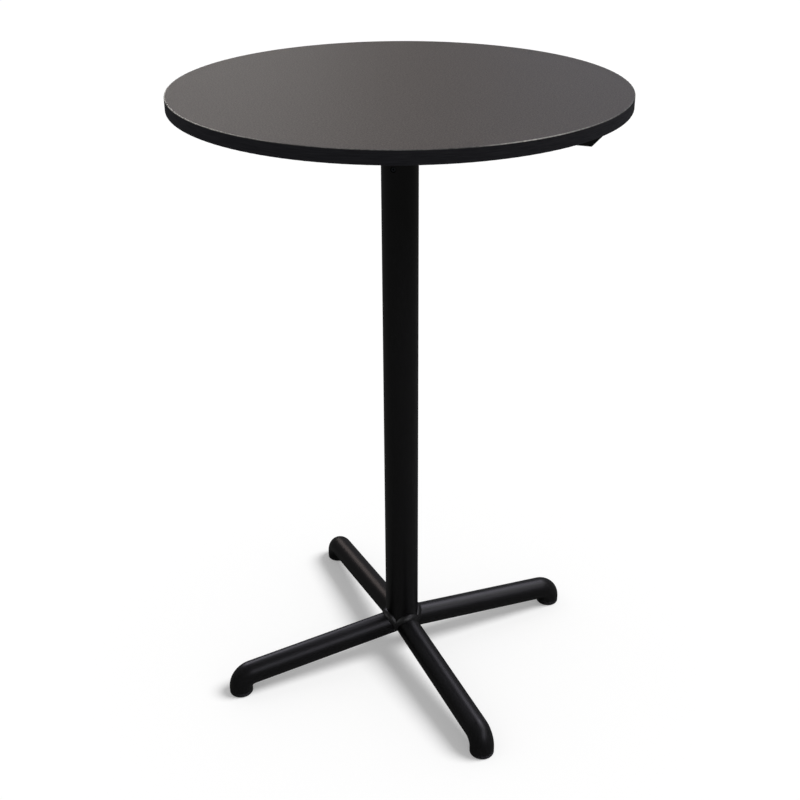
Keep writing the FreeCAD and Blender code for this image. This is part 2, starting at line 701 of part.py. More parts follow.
def build_bag_hook():
    """Plate hook under the top: a heel below its folded flange, a run outward and a raised lip."""
    body = new_body("bag_hook")
    front = "(dims.hook_flange_width / 2 - dims.hook_thickness / 2)"
    side = add_sketch(body, "hook_side", "XZ_Plane", z=front)
    run_top = f"{HOOK_FOOT} + dims.hook_strip"
    crook_x = f"{HOOK_REACH} - dims.hook_strip * tan(dims.hook_lip_angle / 2)"
    lip_x = f"{HOOK_REACH} + dims.hook_lip * cos(dims.hook_lip_angle)"
    lip_z = f"{HOOK_FOOT} + dims.hook_lip * sin(dims.hook_lip_angle)"
    inner_lip_x = f"{lip_x} - dims.hook_strip * sin(dims.hook_lip_angle)"
    inner_lip_z = f"{lip_z} + dims.hook_strip * cos(dims.hook_lip_angle)"
    draw_polygon(side, [
        (HOOK_END, UNDERSIDE),
        (HOOK_FACE, UNDERSIDE),
        (HOOK_FACE, run_top),
        (crook_x, run_top),
        (inner_lip_x, inner_lip_z),
        (lip_x, lip_z),
        (HOOK_REACH, HOOK_FOOT),
        (f"{HOOK_FACE} - dims.hook_strip", HOOK_FOOT),
        (HOOK_END, f"{HOOK_SEAT} - dims.hook_heel"),
    ])
    add_pad(body, side, "dims.hook_thickness", centred=True)
    for name, radius, corners in (
            ("hook_throat", "dims.hook_throat_rounding", [(HOOK_FACE, run_top), (crook_x, run_top)]),
            ("hook_lip_end", "dims.hook_lip_rounding", [(inner_lip_x, inner_lip_z), (lip_x, lip_z)])):
        places = [(size(x), size(z)) for x, z in corners]
        add_dressing(body, "Fillet", radius, name,
                     lambda edge: any(is_cross_edge(edge, x, z) for x, z in places))

    flange = add_sketch(body, "hook_flange", "XY_Plane", z=UNDERSIDE)
    half = "dims.hook_flange_width / 2"
    draw_polygon(flange, [(HOOK_END, f"-{half}"), (HOOK_FACE, f"-{half}"), (HOOK_FACE, half), (HOOK_END, half)])
    add_pad(body, flange, "dims.hook_thickness", down=True)
    holes = add_sketch(body, "hook_holes", "XY_Plane", z=UNDERSIDE)
    for place in HOOK_SCREWS:
        draw_circle(holes, "dims.screw_diameter + 2 * dims.screw_clearance", x=place)
    add_pocket(body, holes, "dims.hook_thickness")

    front_face = -size(half)
    inner_face = front_face + size("dims.hook_thickness")
    add_dressing(body, "Fillet", "dims.hook_bend", "hook_inside_bend",
                 lambda edge: is_long_edge(edge, inner_face, size(HOOK_SEAT)))
    add_dressing(body, "Fillet", "dims.hook_bend + dims.hook_thickness", "hook_outside_bend",
                 lambda edge: is_long_edge(edge, front_face, size(UNDERSIDE)))


def is_cross_edge(edge, x, z):
    """True for an edge along Y at that place of the side view."""
    return all(abs(vertex.X - x) < SAME_PLACE and abs(vertex.Z - z) < SAME_PLACE for vertex in edge.Vertexes)


def is_long_edge(edge, y, z):
    """True for an edge along X at that place of the end view."""
    return all(abs(vertex.Y - y) < SAME_PLACE and abs(vertex.Z - z) < SAME_PLACE for vertex in edge.Vertexes)


def build_hook_screws():
    body = new_body("hook_screws")
    for k, place in enumerate(HOOK_SCREWS):
        half = add_sketch(body, f"hook_screw_{k}", "XZ_Plane", x=place, y=HOOK_SEAT)
        draw_screw(half, "dims.screw_diameter", "dims.screw_head_diameter", "dims.screw_head_height",
                   "dims.hook_screw_length")
        add_revolution(body, half)


build_top()
build_edge_band()
build_spider()
build_sleeve()
build_sleeve_weld()
build_spider_screws()
build_column()
build_set_screws()
for corner_name, way in LEGS.items():
    build_leg(f"leg_{corner_name}", way)
build_leg_welds()
for corner_name, way in LEGS.items():
    build_foot_insert(f"foot_insert_{corner_name}", way)
    build_glide_nut(f"glide_nut_{corner_name}", way)
    build_glide_stem(f"glide_stem_{corner_name}", way)
    build_glide_pad(f"glide_pad_{corner_name}", way)
build_bag_hook()
build_hook_screws()
doc.recompute()

# Nothing is written unless every feature and every solid is sound
for item in doc.Objects:
    if "Invalid" in item.State or "Error" in item.State:
        raise ValueError(f"{item.Name} failed: {item.State}")
for node in nodes:
    if node.Shape.isNull() or not node.Shape.isValid() or not node.Shape.Solids:
        raise ValueError(f"{node.Label} has no sound solid")

os.makedirs("parts", exist_ok=True)
for node in nodes:
    node.Shape.exportStep(f"parts/{node.Label}.step")
    print(f"{node.Label}: {len(node.Shape.Solids)} solid(s), {node.Shape.Volume / 1000:.2f} cm3")
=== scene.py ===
# %% [markdown]
# # A pub table, dressed for its photograph
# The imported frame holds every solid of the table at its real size. This script gives each solid the
# finish of the real piece, adds what a solid leaves out, such as the ripples of a weld and the thread of
# a screw, and sets up a plain white studio. Lengths are in metres unless a name says otherwise.

# %% Load the frame
import json
import math

import bmesh
import bpy
from mathutils import Matrix, Vector

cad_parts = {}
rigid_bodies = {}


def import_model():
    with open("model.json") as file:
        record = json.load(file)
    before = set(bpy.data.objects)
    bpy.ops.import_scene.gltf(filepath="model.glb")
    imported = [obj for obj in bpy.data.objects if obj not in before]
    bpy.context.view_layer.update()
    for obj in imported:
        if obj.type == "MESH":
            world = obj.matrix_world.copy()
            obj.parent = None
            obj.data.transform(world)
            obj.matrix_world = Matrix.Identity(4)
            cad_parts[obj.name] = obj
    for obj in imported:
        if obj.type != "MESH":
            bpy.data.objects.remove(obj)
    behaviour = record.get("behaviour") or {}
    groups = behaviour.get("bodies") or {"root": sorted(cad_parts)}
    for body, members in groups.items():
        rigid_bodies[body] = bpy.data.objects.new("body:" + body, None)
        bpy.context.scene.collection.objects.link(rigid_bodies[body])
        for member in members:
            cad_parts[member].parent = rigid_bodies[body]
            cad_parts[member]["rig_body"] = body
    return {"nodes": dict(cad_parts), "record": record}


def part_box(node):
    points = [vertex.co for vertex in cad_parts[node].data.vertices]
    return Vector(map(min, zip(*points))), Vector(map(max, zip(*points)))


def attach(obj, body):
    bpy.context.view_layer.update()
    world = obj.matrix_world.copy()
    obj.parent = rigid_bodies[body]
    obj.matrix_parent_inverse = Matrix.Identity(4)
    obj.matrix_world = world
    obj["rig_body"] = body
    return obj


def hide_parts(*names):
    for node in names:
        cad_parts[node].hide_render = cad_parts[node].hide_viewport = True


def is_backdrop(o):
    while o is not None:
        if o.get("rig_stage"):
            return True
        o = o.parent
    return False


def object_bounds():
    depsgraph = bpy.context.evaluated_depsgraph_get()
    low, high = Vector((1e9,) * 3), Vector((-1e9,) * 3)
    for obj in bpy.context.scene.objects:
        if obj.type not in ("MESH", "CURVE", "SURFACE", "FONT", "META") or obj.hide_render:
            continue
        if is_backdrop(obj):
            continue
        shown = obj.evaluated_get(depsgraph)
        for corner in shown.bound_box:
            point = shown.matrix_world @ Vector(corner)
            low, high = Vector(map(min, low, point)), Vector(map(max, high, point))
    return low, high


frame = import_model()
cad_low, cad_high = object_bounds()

MM = 0.001
nodes = frame["nodes"]

# %% [markdown]
# ## The camera
# The photograph looks down on the table from standing height. A camera can be set by eye, but this one was
# fitted: its place and tilt are those at which the rim, the column's sides and the four feet fall on the
# pixels where the photograph shows them, so nothing has to be bent to look right.

# %% Camera
IMAGE_PIXELS = 800
FOCAL_PIXELS = 1211.4
SENSOR_MM = 36.0
AZIMUTH = 20.25          # degrees round the table from its front
DISTANCE = 1.8657        # from the column's axis, over the floor
EYE_HEIGHT = 1.4887
TILT = 27.27             # degrees below the horizon
SWING = 0.05             # degrees that the view is turned off the column
LEAN = -0.29             # degrees that the view is rolled

camera = bpy.data.objects.new("camera", bpy.data.cameras.new("camera"))
camera.data.sensor_width = SENSOR_MM
camera.data.lens = FOCAL_PIXELS / IMAGE_PIXELS * SENSOR_MM
turn = math.radians(AZIMUTH)
place = Matrix.Translation((DISTANCE * math.sin(turn), -DISTANCE * math.cos(turn), EYE_HEIGHT))
heading = Matrix.Rotation(turn + math.radians(SWING), 4, "Z")
tilted = Matrix.Rotation(math.radians(90 - TILT), 4, "X")
camera.matrix_world = place @ heading @ tilted @ Matrix.Rotation(math.radians(LEAN), 4, "Z")
bpy.context.scene.collection.objects.link(camera)
bpy.context.scene.camera = camera
bpy.context.scene.view_settings.view_transform = "Standard"
print(f"camera {camera.data.lens:.2f} mm at {tuple(round(c, 3) for c in camera.location)}")

# %% [markdown]
# ## Helpers for every shader
# Colours are read off paint charts and photographs as sRGB hex values, but shaders work in linear light, so
# one function turns the first into the second. Another adds a node: a value that is a socket becomes a
# link, and anything else is typed into the input. The last turns the real size of a grain into the scale
# of a texture.

# %% Colour and node helpers
# the standard's curve: a straight foot up to the knee, and a power above it
SRGB_KNEE = 0.04045
SRGB_FOOT = 12.92
SRGB_LIFT = 0.055
SRGB_POWER = 2.4


def linear(hex_colour):
    """Linear RGBA of an sRGB hex value."""
    rgb = []
    for k in (1, 3, 5):
        channel = int(hex_colour[k:k + 2], 16) / 255
        if channel <= SRGB_KNEE:
            rgb.append(channel / SRGB_FOOT)
        else:
            rgb.append(((channel + SRGB_LIFT) / (1 + SRGB_LIFT)) ** SRGB_POWER)
    return rgb + [1.0]


def add_node(owner, kind, inputs=(), **settings):
    """Adds a node to a material or world, with its settings and its inputs."""
    node = owner.node_tree.nodes.new(kind)
    for name, value in settings.items():
        setattr(node, name, value)
    for name, value in dict(inputs).items():
        if isinstance(value, bpy.types.NodeSocket):
            owner.node_tree.links.new(value, node.inputs[name])
        else:
            node.inputs[name].default_value = value
    return node


def per_metre(grain_mm):
    """Scale of a texture whose grain has that size in millimetres."""
    return 1 / (grain_mm * MM)


print("charcoal #5C5755 is", [round(c, 3) for c in linear("#5C5755")[:3]], "in linear light")

# %% [markdown]
# ## The studio
# A white sweep could be lit until it burns out, but that light would wash the table too. Here the lamps
# stay at a level where a colour renders about as it is written, and only the eye of the camera, and rays
# seen in a reflection, find the surroundings white. The floor still takes the lamps' shadow.

# %% White surroundings
AMBIENT = 0.36           # light that the surroundings really give
WHITE = 1.0              # what camera and reflections see


def seen_directly(owner):
    """Socket that is 1 for a ray from the camera, in a reflection or through glass, and 0 for others."""
    path = add_node(owner, "ShaderNodeLightPath").outputs
    straight_or_mirrored = {0: path["Is Camera Ray"], 1: path["Is Glossy Ray"]}
    either = add_node(owner, "ShaderNodeMath", straight_or_mirrored, operation="MAXIMUM")
    every = {0: either.outputs[0], 1: path["Is Transmission Ray"]}
    return add_node(owner, "ShaderNodeMath", every, operation="MAXIMUM").outputs[0]


world = bpy.data.worlds.new("white_studio")
world.use_nodes = True
bpy.context.scene.world = world
seen_or_given = {0: seen_directly(world), 1: WHITE - AMBIENT, 2: AMBIENT}
brightness = add_node(world, "ShaderNodeMath", seen_or_given, operation="MULTIPLY_ADD").outputs[0]
world.node_tree.links.new(brightness, world.node_tree.nodes["Background"].inputs["Strength"])
world.node_tree.nodes["Background"].inputs["Color"].default_value = linear("#FFFFFF")
print(f"surroundings at {AMBIENT} of white")

# %% White floor
FLOOR_GLOW = 0.25        # lifts the lit floor to white, so that only real shade shows
FLOOR_RADIUS = 14.0
FLOOR_SIDES = 64
FLOOR_SINK = 0.2 * MM    # keeps floor and glides from sharing a plane

floor_paint = bpy.data.materials.new("matt_white_floor")
floor_paint.use_nodes = True
floor_shader = floor_paint.node_tree.nodes["Principled BSDF"]
floor_shader.inputs["Base Color"].default_value = linear("#E8E8E8")
floor_shader.inputs["Specular IOR Level"].default_value = 0.0
floor_shader.inputs["Emission Color"].default_value = linear("#FFFFFF")
lift = {0: seen_directly(floor_paint), 1: FLOOR_GLOW}
glow = add_node(floor_paint, "ShaderNodeMath", lift, operation="MULTIPLY")
floor_paint.node_tree.links.new(glow.outputs[0], floor_shader.inputs["Emission Strength"])

floor_mesh = bpy.data.meshes.new("floor")
sheet = bmesh.new()
bmesh.ops.create_circle(sheet, cap_ends=True, segments=FLOOR_SIDES, radius=FLOOR_RADIUS)
bmesh.ops.translate(sheet, verts=sheet.verts, vec=(0, 0, -FLOOR_SINK))
sheet.to_mesh(floor_mesh)
sheet.free()
floor_mesh.materials.append(floor_paint)
floor = bpy.data.objects.new("floor", floor_mesh)
bpy.context.scene.collection.objects.link(floor)
floor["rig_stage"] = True
print(f"floor {2 * FLOOR_RADIUS:.0f} m across")

# %% [markdown]
# The shade on the floor lies close to the left of the legs and is soft within a hand's width, so the main
# light is broad and comes from the right, half way up. Only the base throws shade in it, because the
# top's shade falls outside of the picture.
#
# Black tubes show their lights as streaks, and a photographer sets strip lights for them, flagged off the
# rest. Light linking does the same: a strip shines on the pieces in its collection alone, and the floor
# stays even. A streak's place on a tube tells where its light stands, because there the tube mirrors it.
# The strips stand behind, above, at the left and at the right. The leg at the rear left has a warm one,
# the weld beads have one box at the left and one beside the camera, and two low strips behind the table
# lay a sheen on the left and the right of its top.

# %% Lamp list
REAR_LEFT_LEG = ("leg_rear_left",)
OTHER_TUBES = ("column_", "leg_front", "leg_rear_right", "leg_welds", "foot_", "glide_", "bag_")
TUBES = REAR_LEFT_LEG + OTHER_TUBES
TOP = ("top_", "edge_")
BEADS = ("leg_welds",)
LAMPS = {
    # name: azimuth from +X, elevation and spread in degrees, share of white on a level surface, colour
    "main_light": (28, 52, 30, 0.60, "#FFFFFF"),
    "rear_strip": (82, 55, 26, 1.45, "#F2EFFF"),
    "high_strip": (47, 62, 26, 0.80, "#F2EFFF"),
    "left_strip": (135, 33, 26, 1.00, "#F2EFFF"),
    "right_strip": (-34, 37, 26, 0.38, "#F2EFFF"),
    "near_strip": (-12, 46, 26, 0.56, "#F2EFFF"),
    "warm_strip": (135, 33, 26, 0.50, "#FFEDE7"),
    "left_box": (-150, 14, 40, 0.30, "#FFFFFF"),
    "right_box": (-46, 30, 40, 0.95, "#FFFFFF"),
    "low_left_strip": (122, 14, 20, 0.060, "#FFFFFF"),
    "low_right_strip": (97, 12, 20, 0.018, "#AFD0FF"),
}
# starts of the names of the pieces that a lamp shines on, where it doesn't shine on all
FLAGGED = {
    "rear_strip": TUBES,
    "high_strip": TUBES,
    "left_strip": OTHER_TUBES,
    "right_strip": TUBES,
    "near_strip": TUBES,
    "warm_strip": REAR_LEFT_LEG,
    "left_box": BEADS,
    "right_box": BEADS,
    "low_left_strip": TOP,
    "low_right_strip": TOP,
}
SHADED_BY = ("leg_", "foot_", "glide_")
print(f"{len(LAMPS)} lamps, {len(FLAGGED)} of them flagged")


# %% Lamps
def linked_pieces(name, starts):
    """Collection of the nodes whose names start with one of these words."""
    pieces = bpy.data.collections.new(name)
    for node in nodes:
        if node.startswith(starts):
            pieces.objects.link(nodes[node])
    return pieces


lamps = {}
for name, (azimuth, elevation, spread, share, colour) in LAMPS.items():
    lamp = bpy.data.objects.new(name, bpy.data.lights.new(name, "SUN"))
    rise = math.radians(elevation)
    lamp.data.energy = share * math.pi / math.sin(rise)
    lamp.data.angle = math.radians(spread)
    lamp.data.color = linear(colour)[:3]
    towards = Matrix.Rotation(math.radians(azimuth), 3, "Z") @ Vector((math.cos(rise), 0, math.sin(rise)))
    lamp.rotation_euler = towards.to_track_quat("Z", "Y").to_euler()
    bpy.context.scene.collection.objects.link(lamp)
    lamps[name] = lamp
    print(f"{name}: {lamp.data.energy:.2f} W/m2")
for name, starts in FLAGGED.items():
    lamps[name].light_linking.receiver_collection = linked_pieces(f"lit_by_{name}", starts)
lamps["main_light"].light_linking.blocker_collection = linked_pieces("shade_in_main_light", SHADED_BY)

# %% [markdown]
# ## Finishes
# Each finish starts from what the real surface is and how it was made. A material takes its place from
# object coordinates, which are the table's own metres here, so a grain keeps its real size on every piece.

# %% Start of a finish
METAL_SPECULAR = 0.5     # the shader's own level, kept for metals; other finishes shine by a clear skin


def new_finish(name, skin=0.0, skin_roughness=0.5, metallic=0.0):
    """Material with its shader and object coordinates; its skin is the share of a clear gloss over it."""
    material = bpy.data.materials.new(name)
    material.use_nodes = True
    shader = material.node_tree.nodes["Principled BSDF"]
    shader.inputs["Metallic"].default_value = metallic
    shader.inputs["Specular IOR Level"].default_value = METAL_SPECULAR * metallic
    shader.inputs["Coat Weight"].default_value = skin
    shader.inputs["Coat Roughness"].default_value = skin_roughness
    where = add_node(material, "ShaderNodeTexCoord").outputs["Object"]
    return material, shader, where


def wire(material, shader, colour, roughness, height, relief_mm):
    """Links colour, roughness and the height of a fine relief to a finish's shader."""
    bumps = {"Height": height, "Distance": relief_mm * MM, "Strength": 1.0}
    relief = add_node(material, "ShaderNodeBump", bumps).outputs["Normal"]
    ends = {"Base Color": colour, "Roughness": roughness, "Normal": relief, "Coat Normal": relief}
    for name, socket in ends.items():
        material.node_tree.links.new(socket, shader.inputs[name])


def two_tones(material, amount, dark, light, low=0.35, high=0.65):
    """Colour that goes from dark to light as an amount goes from low to high."""
    ramp = add_node(material, "ShaderNodeValToRGB", {"Fac": amount})
    ramp.color_ramp.elements[0].position = low
    ramp.color_ramp.elements[0].color = linear(dark)
    ramp.color_ramp.elements[1].position = high
    ramp.color_ramp.elements[1].color = linear(light)
    return ramp.outputs["Color"]


print("finishes start from a Principled shader")

# %% [markdown]
# ### Matt laminate
# The top's face is high pressure laminate: printed paper under clear melamine, pressed against an etched
# steel plate. The eye gets a charcoal with a fine fleck, and a sheen so broad that it hardly shows.
# The printed fleck is about 0.8 mm. That is half a pixel of the photograph, so it is drawn at 2.2 mm.

# %% Matt laminate
FLECK_MM = 2.2
ETCHING_MM = 0.7
FACE_CLOUD_MM = 160      # slow change of the sheen over the face


def matt_laminate():
    material, shader, where = new_finish("matt_laminate", skin=0.08, skin_roughness=0.42)
    fleck = add_node(material, "ShaderNodeTexNoise",
                     {"Vector": where, "Scale": per_metre(FLECK_MM), "Detail": 4.0, "Roughness": 0.75})
    etching = add_node(material, "ShaderNodeTexNoise",
                       {"Vector": where, "Scale": per_metre(ETCHING_MM), "Detail": 2.0})
    cloud = add_node(material, "ShaderNodeTexNoise",
                     {"Vector": where, "Scale": per_metre(FACE_CLOUD_MM), "Detail": 2.0})
    colour = two_tones(material, fleck.outputs["Fac"], "#423D3C", "#5C5754")
    sheen = add_node(material, "ShaderNodeMapRange",
                     {"Value": cloud.outputs["Fac"], "To Min": 0.48, "To Max": 0.56})
    wire(material, shader, colour, sheen.outputs["Result"], etching.outputs["Fac"], relief_mm=0.05)
    return material


laminate = matt_laminate()
print("made", laminate.name)

# %% [markdown]
# ### Extruded edge band
# The band is a strip of black ABS, extruded flat and glued round the board. Extrusion leaves faint lines
# along the strip, so the noise is squeezed in height and stretched round the rim. A scraper then rounds
# the upper edge, and the thin light line between face and band is a painted highlight: the colour pales
# near the upper edge, strongly at the left and the right of the front, and hardly in its middle.

# %% Extruded edge band
LINE_MM = 1.1
LINE_STRETCH = (0.04, 0.04, 1.0)     # draws the noise out along the strip
GRAZE_AND_HIGHLIGHT_MM = 6
# depths under the face over which the painted rim highlight fades out
RIM_HIGHLIGHT_LOW = 1.2 * MM                # depths below the face between which the paleness fades
RIM_HIGHLIGHT_HIGH = 0.5 * MM
FRONT_WAY = (0.938, 0.346, 0.0)      # level direction along the rim's front
FRONT_REACH = 360 * MM
# places along the front in millimetres, and the strength of the painted rim highlight there
RIM_HIGHLIGHT_ALONG_FRONT = ((-250, 1.0), (-150, 0.25), (90, 0.2), (150, 1.0), (215, 0.8), (265, 0.4), (340, 0.25))


def painted_rim_highlight(material, where):
    """Socket with the strength of the painted rim highlight, from place to place along the rim's front."""
    along = add_node(material, "ShaderNodeVectorMath", {0: where, 1: FRONT_WAY}, operation="DOT_PRODUCT")
    reach = {"Value": along.outputs["Value"], "From Min": -FRONT_REACH, "From Max": FRONT_REACH}
    spot = add_node(material, "ShaderNodeMapRange", reach).outputs["Result"]
    highlight_ramp = add_node(material, "ShaderNodeValToRGB", {"Fac": spot})
    stops = highlight_ramp.color_ramp.elements
    stops.remove(stops[1])
    for k, (at_mm, share) in enumerate(RIM_HIGHLIGHT_ALONG_FRONT):
        position = (at_mm * MM / FRONT_REACH + 1) / 2
        stop = stops.new(position) if k else stops[0]
        stop.position = position
        stop.color = (share, share, share, 1.0)
    return highlight_ramp.outputs["Color"]


def extruded_abs():
    material, shader, where = new_finish("extruded_abs", skin=0.03, skin_roughness=0.3)
    lines = add_node(material, "ShaderNodeMapping", {"Vector": where, "Scale": LINE_STRETCH})
    streak = add_node(material, "ShaderNodeTexNoise",
                      {"Vector": lines.outputs["Vector"], "Scale": per_metre(LINE_MM), "Detail": 3.0})
    graze_and_highlight_patches = add_node(material, "ShaderNodeTexNoise",
                     {"Vector": where, "Scale": per_metre(GRAZE_AND_HIGHLIGHT_MM), "Detail": 3.0})
    colour = two_tones(material, streak.outputs["Fac"], "#1A1A1D", "#232326")
    height = add_node(material, "ShaderNodeSeparateXYZ", {"Vector": where}).outputs["Z"]
    depths = {"Value": height, "From Min": cad_high.z - RIM_HIGHLIGHT_LOW, "From Max": cad_high.z - RIM_HIGHLIGHT_HIGH}
    near_upper_edge = add_node(material, "ShaderNodeMapRange", depths).outputs["Result"]
    highlight_parts = {0: painted_rim_highlight(material, where), 1: graze_and_highlight_patches.outputs["Fac"]}
    patchy_highlight = add_node(material, "ShaderNodeMath", highlight_parts, operation="MULTIPLY").outputs[0]
    pale = add_node(material, "ShaderNodeMath", {0: near_upper_edge, 1: patchy_highlight}, operation="MULTIPLY").outputs[0]
    # painted highlight: near the upper edge the colour is mixed towards pale grey, as a thin line of light
    tones = {"Fac": pale, "Color1": colour, "Color2": linear("#D4D0CA")}
    rim = add_node(material, "ShaderNodeMixRGB", tones).outputs["Color"]
    sheen = add_node(material, "ShaderNodeMapRange",
                     {"Value": graze_and_highlight_patches.outputs["Fac"], "To Min": 0.28, "To Max": 0.36})
    wire(material, shader, rim, sheen.outputs["Result"], streak.outputs["Fac"], relief_mm=0.03)
    return material


edge_band = extruded_abs()
print("made", edge_band.name)

# %% [markdown]
# ### Satin powder coat
# Column, legs, spider and hook are steel under black polyester powder, melted in an oven. As it flows it
# draws into a fine orange peel, here 1.6 mm from crest to crest. The coat is close to black,
# and what the eye sees of it is the broad streak of light on the upper side of a tube.

# %% Satin powder coat
PEEL_MM = 1.6
FLOW_MM = 45


def satin_powder_coat():
    material, shader, where = new_finish("satin_powder_coat", skin=0.08, skin_roughness=0.36)
    peel = add_node(material, "ShaderNodeTexNoise",
                    {"Vector": where, "Scale": per_metre(PEEL_MM), "Detail": 2.0, "Roughness": 0.4})
    flow = add_node(material, "ShaderNodeTexNoise",
                    {"Vector": where, "Scale": per_metre(FLOW_MM), "Detail": 3.0})
    colour = two_tones(material, flow.outputs["Fac"], "#050505", "#060606")
    sheen = add_node(material, "ShaderNodeMapRange",
                     {"Value": flow.outputs["Fac"], "To Min": 0.34, "To Max": 0.42})
    wire(material, shader, colour, sheen.outputs["Result"], peel.outputs["Fac"], relief_mm=0.04)
    return material


powder_coat = satin_powder_coat()
print("made", powder_coat.name)

# %% [markdown]
# ### Plated and blackened steel
# Screws, nuts and glide stems are zinc plated: a pale metal with cloudy patches where the plating bath
# ran over it. The column's set screws are blackened in hot oxide, which leaves a dark, slightly oily metal.
# Both keep the shader's own IOR, because a metal's colour already says how it reflects.

# %% Plated and blackened steel
BATH_CLOUD_MM = 3
SCRATCH_MM = 0.4


def steel_finish(name, dark, light, rough_low, rough_high):
    material, shader, where = new_finish(name, metallic=1.0)
    cloud = add_node(material, "ShaderNodeTexNoise",
                     {"Vector": where, "Scale": per_metre(BATH_CLOUD_MM), "Detail": 4.0})
    scratch = add_node(material, "ShaderNodeTexNoise",
                       {"Vector": where, "Scale": per_metre(SCRATCH_MM), "Detail": 2.0})
    colour = two_tones(material, cloud.outputs["Fac"], dark, light)
    sheen = add_node(material, "ShaderNodeMapRange",
                     {"Value": cloud.outputs["Fac"], "To Min": rough_low, "To Max": rough_high})
    wire(material, shader, colour, sheen.outputs["Result"], scratch.outputs["Fac"], relief_mm=0.01)
    return material


zinc_plate = steel_finish("zinc_plated_steel", "#A7AAAB", "#C6C6C1", rough_low=0.28, rough_high=0.44)
black_oxide = steel_finish("hot_blackened_steel", "#0E0F10", "#1A1B1D", rough_low=0.34, rough_high=0.48)
print("made", zinc_plate.name, "and", black_oxide.name)

# %% [markdown]
# ### Moulded feet
# The inserts are black polypropylene from a spark eroded mould, which prints its fine pits on the part.
# The glide pads are black nylon. Floors rub their lower edge grey, so the colour pales in the last
# two millimetres above the floor, unevenly, as a scuff does.

# %% Moulded feet
PIT_MM = 0.6
MOULD_CLOUD_MM = 9
SCUFF_PATCH_MM = 3
SCUFF_HEIGHT = 2 * MM
SCUFF_SHARE = 0.55       # of grey, at the floor


def moulded_plastic(name, dark, light, rough_low, rough_high):
    material, shader, where = new_finish(name, skin=0.10, skin_roughness=0.45)
    pits = add_node(material, "ShaderNodeTexNoise",
                    {"Vector": where, "Scale": per_metre(PIT_MM), "Detail": 2.0})
    cloud = add_node(material, "ShaderNodeTexNoise",
                     {"Vector": where, "Scale": per_metre(MOULD_CLOUD_MM), "Detail": 3.0})
    colour = two_tones(material, cloud.outputs["Fac"], dark, light)
    sheen = add_node(material, "ShaderNodeMapRange",
                     {"Value": cloud.outputs["Fac"], "To Min": rough_low, "To Max": rough_high})
    wire(material, shader, colour, sheen.outputs["Result"], pits.outputs["Fac"], relief_mm=0.03)
    return material, shader, where, colour


def scuffed_nylon():
    material, shader, where, colour = moulded_plastic(
        "scuffed_nylon", "#0E0E0F", "#141415", rough_low=0.48, rough_high=0.62)
    height = add_node(material, "ShaderNodeSeparateXYZ", {"Vector": where}).outputs["Z"]
    patch = add_node(material, "ShaderNodeTexNoise",
                     {"Vector": where, "Scale": per_metre(SCUFF_PATCH_MM), "Detail": 4.0})
    fade = {"Value": height, "From Min": 0.0, "From Max": SCUFF_HEIGHT,
            "To Min": SCUFF_SHARE, "To Max": 0.0}
    reach = add_node(material, "ShaderNodeMapRange", fade)
    amount = {0: reach.outputs["Result"], 1: patch.outputs["Fac"]}
    worn = add_node(material, "ShaderNodeMath", amount, operation="MULTIPLY").outputs[0]
    tones = {"Fac": worn, "Color1": colour, "Color2": linear("#4A4744")}
    mixed = add_node(material, "ShaderNodeMixRGB", tones)
    material.node_tree.links.new(mixed.outputs["Color"], shader.inputs["Base Color"])
    return material


insert_plastic = moulded_plastic(
    "moulded_polypropylene", "#0C0C0D", "#111112", rough_low=0.46, rough_high=0.58)[0]
glide_nylon = scuffed_nylon()
print("made", insert_plastic.name, "and", glide_nylon.name)

# %% [markdown]
# ### The board under the laminate
# The core is particle board: chips of softwood in resin, which Voronoi cells of 3 mm imitate. Under it
# is a thin sheet of resin soaked kraft paper that keeps the board from cupping. It is sanded
# in one direction before it is glued, and the scratches stay as fine parallel lines.

# %% Particle board and backing sheet
CHIP_MM = 3
SANDING_MM = 1.2
SANDING_STRETCH = (0.02, 1.0, 1.0)   # draws the noise out in the direction of sanding
MOTTLE_MM = 25


def particle_board():
    material, shader, where = new_finish("particle_board")
    chip = add_node(material, "ShaderNodeTexVoronoi", {"Vector": where, "Scale": per_metre(CHIP_MM)})
    tone = add_node(material, "ShaderNodeSeparateXYZ", {"Vector": chip.outputs["Color"]}).outputs["X"]
    colour = two_tones(material, tone, "#7A5B38", "#C9A878", low=0.1, high=0.9)
    sheen = add_node(material, "ShaderNodeMapRange", {"Value": tone, "To Min": 0.7, "To Max": 0.9})
    wire(material, shader, colour, sheen.outputs["Result"], chip.outputs["Distance"], relief_mm=0.1)
    return material


def sanded_kraft_sheet():
    material, shader, where = new_finish("sanded_kraft_sheet", skin=0.1, skin_roughness=0.55)
    along = add_node(material, "ShaderNodeMapping", {"Vector": where, "Scale": SANDING_STRETCH})
    scratch = add_node(material, "ShaderNodeTexNoise",
                       {"Vector": along.outputs["Vector"], "Scale": per_metre(SANDING_MM), "Detail": 4.0})
    mottle = add_node(material, "ShaderNodeTexNoise",
                      {"Vector": where, "Scale": per_metre(MOTTLE_MM), "Detail": 5.0})
    colour = two_tones(material, mottle.outputs["Fac"], "#2A211B", "#3A2E26")
    sheen = add_node(material, "ShaderNodeMapRange",
                     {"Value": scratch.outputs["Fac"], "To Min": 0.55, "To Max": 0.75})
    wire(material, shader, colour, sheen.outputs["Result"], scratch.outputs["Fac"], relief_mm=0.04)
    return material


chip_board = particle_board()
kraft_sheet = sanded_kraft_sheet()
print("made", chip_board.name, "and", kraft_sheet.name)

# %% [markdown]
# ### Finishes on the solids
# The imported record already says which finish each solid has, by the name of its slot, so the finishes are
# handed out by that name and no list of pieces is needed.

